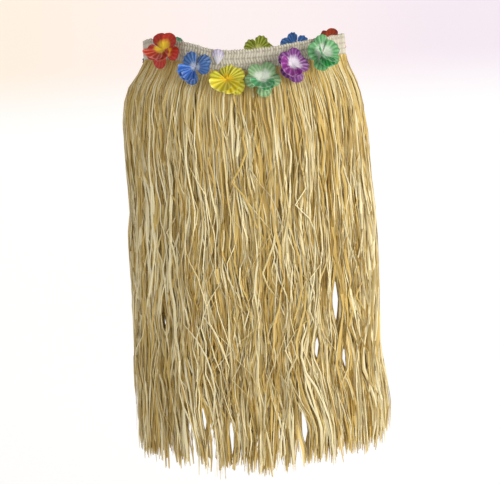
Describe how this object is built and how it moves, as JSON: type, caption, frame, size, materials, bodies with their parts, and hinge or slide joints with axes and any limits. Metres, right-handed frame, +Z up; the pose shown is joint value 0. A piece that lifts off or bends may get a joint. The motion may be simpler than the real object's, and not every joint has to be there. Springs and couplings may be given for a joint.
{
  "type": "grass skirt",
  "caption": "Knee-length hula skirt of pale straw-coloured raffia strands hung in layers from a stitched waistband, with bright cloth flowers round the waist.",
  "frame": {"origin": "centre of the waist loop, at the middle height of the band", "axes": "+Z up along the skirt's length, -Y the front, +X the wearer's left, so the waist is widest along X and narrowest along Y"},
  "size_m": [0.4888, 0.3364, 0.8251],
  "materials": {
    "raffia_band": "matt stitched raffia, fine upright ribs",
    "raffia_straw": "dry straw-coloured raffia with a soft sheen",
    "raffia_shade": "dry golden-brown raffia",
    "petal_red": "thin red cloth, yellow towards the throat",
    "petal_blue": "thin blue cloth, pale towards the throat",
    "petal_yellow": "thin yellow cloth, golden towards the throat",
    "petal_mint": "thin mint green cloth, white towards the throat",
    "petal_purple": "thin purple cloth, white towards the throat",
    "petal_green": "thin green cloth, white towards the throat",
    "petal_orange": "thin orange-red cloth, yellow towards the throat",
    "petal_lime": "thin yellow-green cloth",
    "petal_violet": "thin violet cloth, white towards the throat",
    "petal_plum": "thin dark purple cloth"
  },
  "bodies": {
    "root": {"waistband": "raffia_band", "fringe_outer": "raffia_straw", "fringe_inner": "raffia_shade", "flower_01_red": "petal_red", "flower_02_blue": "petal_blue", "flower_03_yellow": "petal_yellow", "flower_04_mint": "petal_mint", "flower_05_purple": "petal_purple", "flower_06_green": "petal_green", "flower_07_orange": "petal_orange", "flower_08_blue": "petal_blue", "flower_09_lime": "petal_lime", "flower_10_violet": "petal_violet", "flower_11_green": "petal_green", "flower_12_plum": "petal_plum"}
  },
  "joints": []
}
